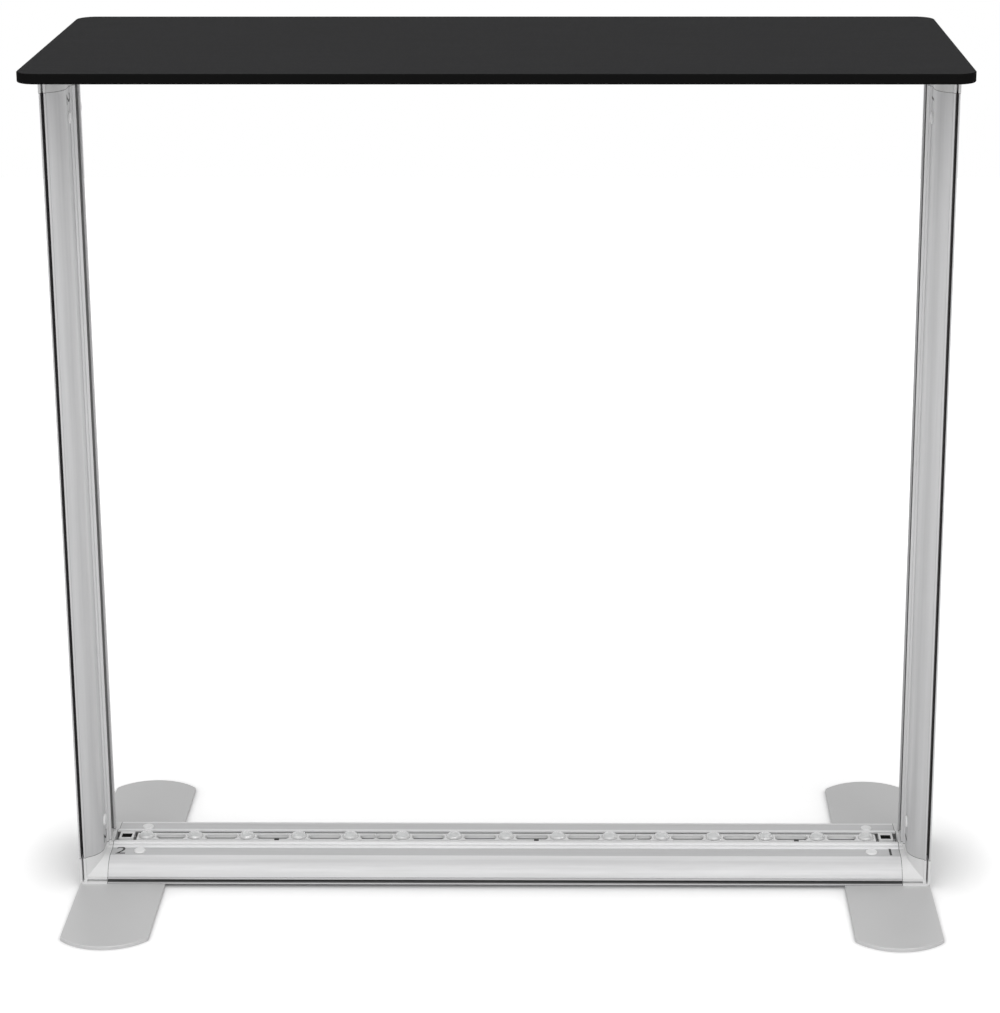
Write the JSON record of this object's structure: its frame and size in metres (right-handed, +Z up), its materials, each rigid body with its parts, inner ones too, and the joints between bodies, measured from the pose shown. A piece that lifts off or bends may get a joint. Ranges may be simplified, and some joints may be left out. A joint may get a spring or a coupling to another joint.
{
  "type": "illuminated counter",
  "caption": "Free-standing counter: laminate top on an aluminium fabric frame with snap-together corners, a lens light strip and swivelling plate feet.",
  "frame": {"origin": "on the floor under the middle of the frame, the centre of the bounding box's underside", "axes": "+X to the right across the counter seen from the front, -Y is the front, +Z up"},
  "size_m": [1, 0.454, 0.988],
  "materials": {
    "counter_board": "black laminate, fine grain",
    "extruded_aluminium": "satin anodised with fine die lines",
    "corner_plastic": "smooth moulded, white",
    "button_plastic": "smooth moulded, white",
    "spring_steel": "bare spring steel",
    "foot_coating": "silver-grey powder coat",
    "bolt_steel": "zinc plated",
    "insert_brass": "bare",
    "screw_black": "black moulded",
    "board_white": "white solder mask",
    "chip_cover": "clear gel over white",
    "carrier_white": "white moulded",
    "lens_clear": "clear, polished",
    "black_plastic": "black moulded",
    "inlet_white": "white moulded",
    "pin_metal": "plated"
  },
  "bodies": {
    "frame": {"bar_clips": "black_plastic", "bottom_rail": "extruded_aluminium", "button_springs_bottom_left": "spring_steel", "button_springs_bottom_right": "spring_steel", "button_springs_top_left": "spring_steel", "button_springs_top_right": "spring_steel", "corner_bottom_left": "corner_plastic", "corner_bottom_right": "corner_plastic", "corner_top_left": "corner_plastic", "corner_top_right": "corner_plastic", "counter_inserts": "insert_brass", "counter_screws": "screw_black", "countertop": "counter_board", "foot_bolt_left": "bolt_steel", "foot_bolt_right": "bolt_steel", "foot_fastenings": "bolt_steel", "inlet_core_left": "black_plastic", "inlet_core_right": "black_plastic", "inlet_housing_left": "inlet_white", "inlet_housing_right": "inlet_white", "inlet_leads": "black_plastic", "inlet_pins": "pin_metal", "left_post": "extruded_aluminium", "lens_carrier_1": "carrier_white", "lens_carrier_2": "carrier_white", "lens_carrier_3": "carrier_white", "lenses_1": "lens_clear", "lenses_2": "lens_clear", "lenses_3": "lens_clear", "light_board_1": "board_white", "light_board_2": "board_white", "light_board_3": "board_white", "light_chips_1": "chip_cover", "light_chips_2": "chip_cover", "light_chips_3": "chip_cover", "right_post": "extruded_aluminium", "top_rail": "extruded_aluminium"},
    "foot_left": {"foot_left": "foot_coating"},
    "foot_right": {"foot_right": "foot_coating"},
    "button_bottom_left_post_back": {"button_bottom_left_post_back": "button_plastic"},
    "button_bottom_left_post_front": {"button_bottom_left_post_front": "button_plastic"},
    "button_bottom_left_rail_back": {"button_bottom_left_rail_back": "button_plastic"},
    "button_bottom_left_rail_front": {"button_bottom_left_rail_front": "button_plastic"},
    "button_bottom_right_post_back": {"button_bottom_right_post_back": "button_plastic"},
    "button_bottom_right_post_front": {"button_bottom_right_post_front": "button_plastic"},
    "button_bottom_right_rail_back": {"button_bottom_right_rail_back": "button_plastic"},
    "button_bottom_right_rail_front": {"button_bottom_right_rail_front": "button_plastic"},
    "button_top_left_post_back": {"button_top_left_post_back": "button_plastic"},
    "button_top_left_post_front": {"button_top_left_post_front": "button_plastic"},
    "button_top_left_rail_back": {"button_top_left_rail_back": "button_plastic"},
    "button_top_left_rail_front": {"button_top_left_rail_front": "button_plastic"},
    "button_top_right_post_back": {"button_top_right_post_back": "button_plastic"},
    "button_top_right_post_front": {"button_top_right_post_front": "button_plastic"},
    "button_top_right_rail_back": {"button_top_right_rail_back": "button_plastic"},
    "button_top_right_rail_front": {"button_top_right_rail_front": "button_plastic"}
  },
  "joints": [
    {"name": "foot_left_swivel", "type": "hinge", "parent": "frame", "child": "foot_left", "pos_m": [-0.45, 0, 0.002], "axis": [0, 0, 1], "range_deg": [0, 90]},
    {"name": "foot_right_swivel", "type": "hinge", "parent": "frame", "child": "foot_right", "pos_m": [0.45, 0, 0.002], "axis": [0, 0, 1], "range_deg": [-90, 0]},
    {"name": "press_bottom_left_post_back", "type": "slide", "parent": "frame", "child": "button_bottom_left_post_back", "axis": [-1, 0, 0], "range_m": [0, 0.0034], "stiffness_N_per_m": 600, "springref_m": -0.001},
    {"name": "press_bottom_left_post_front", "type": "slide", "parent": "frame", "child": "button_bottom_left_post_front", "axis": [-1, 0, 0], "range_m": [0, 0.0034], "stiffness_N_per_m": 600, "springref_m": -0.001},
    {"name": "press_bottom_left_rail_back", "type": "slide", "parent": "frame", "child": "button_bottom_left_rail_back", "axis": [0, 0, -1], "range_m": [0, 0.0034], "stiffness_N_per_m": 600, "springref_m": -0.001},
    {"name": "press_bottom_left_rail_front", "type": "slide", "parent": "frame", "child": "button_bottom_left_rail_front", "axis": [0, 0, -1], "range_m": [0, 0.0034], "stiffness_N_per_m": 600, "springref_m": -0.001, "deforming": ["button_springs_bottom_left"]},
    {"name": "press_bottom_right_post_back", "type": "slide", "parent": "frame", "child": "button_bottom_right_post_back", "axis": [1, 0, 0], "range_m": [0, 0.0034], "stiffness_N_per_m": 600, "springref_m": -0.001},
    {"name": "press_bottom_right_post_front", "type": "slide", "parent": "frame", "child": "button_bottom_right_post_front", "axis": [1, 0, 0], "range_m": [0, 0.0034], "stiffness_N_per_m": 600, "springref_m": -0.001},
    {"name": "press_bottom_right_rail_back", "type": "slide", "parent": "frame", "child": "button_bottom_right_rail_back", "axis": [0, 0, -1], "range_m": [0, 0.0034], "stiffness_N_per_m": 600, "springref_m": -0.001},
    {"name": "press_bottom_right_rail_front", "type": "slide", "parent": "frame", "child": "button_bottom_right_rail_front", "axis": [0, 0, -1], "range_m": [0, 0.0034], "stiffness_N_per_m": 600, "springref_m": -0.001, "deforming": ["button_springs_bottom_right"]},
    {"name": "press_top_left_post_back", "type": "slide", "parent": "frame", "child": "button_top_left_post_back", "axis": [-1, 0, 0], "range_m": [0, 0.0034], "stiffness_N_per_m": 600, "springref_m": -0.001},
    {"name": "press_top_left_post_front", "type": "slide", "parent": "frame", "child": "button_top_left_post_front", "axis": [-1, 0, 0], "range_m": [0, 0.0034], "stiffness_N_per_m": 600, "springref_m": -0.001},
    {"name": "press_top_left_rail_back", "type": "slide", "parent": "frame", "child": "button_top_left_rail_back", "axis": [0, 0, 1], "range_m": [0, 0.0034], "stiffness_N_per_m": 600, "springref_m": -0.001},
    {"name": "press_top_left_rail_front", "type": "slide", "parent": "frame", "child": "button_top_left_rail_front", "axis": [0, 0, 1], "range_m": [0, 0.0034], "stiffness_N_per_m": 600, "springref_m": -0.001, "deforming": ["button_springs_top_left"]},
    {"name": "press_top_right_post_back", "type": "slide", "parent": "frame", "child": "button_top_right_post_back", "axis": [1, 0, 0], "range_m": [0, 0.0034], "stiffness_N_per_m": 600, "springref_m": -0.001},
    {"name": "press_top_right_post_front", "type": "slide", "parent": "frame", "child": "button_top_right_post_front", "axis": [1, 0, 0], "range_m": [0, 0.0034], "stiffness_N_per_m": 600, "springref_m": -0.001},
    {"name": "press_top_right_rail_back", "type": "slide", "parent": "frame", "child": "button_top_right_rail_back", "axis": [0, 0, 1], "range_m": [0, 0.0034], "stiffness_N_per_m": 600, "springref_m": -0.001},
    {"name": "press_top_right_rail_front", "type": "slide", "parent": "frame", "child": "button_top_right_rail_front", "axis": [0, 0, 1], "range_m": [0, 0.0034], "stiffness_N_per_m": 600, "springref_m": -0.001, "deforming": ["button_springs_top_right"]}
  ]
}
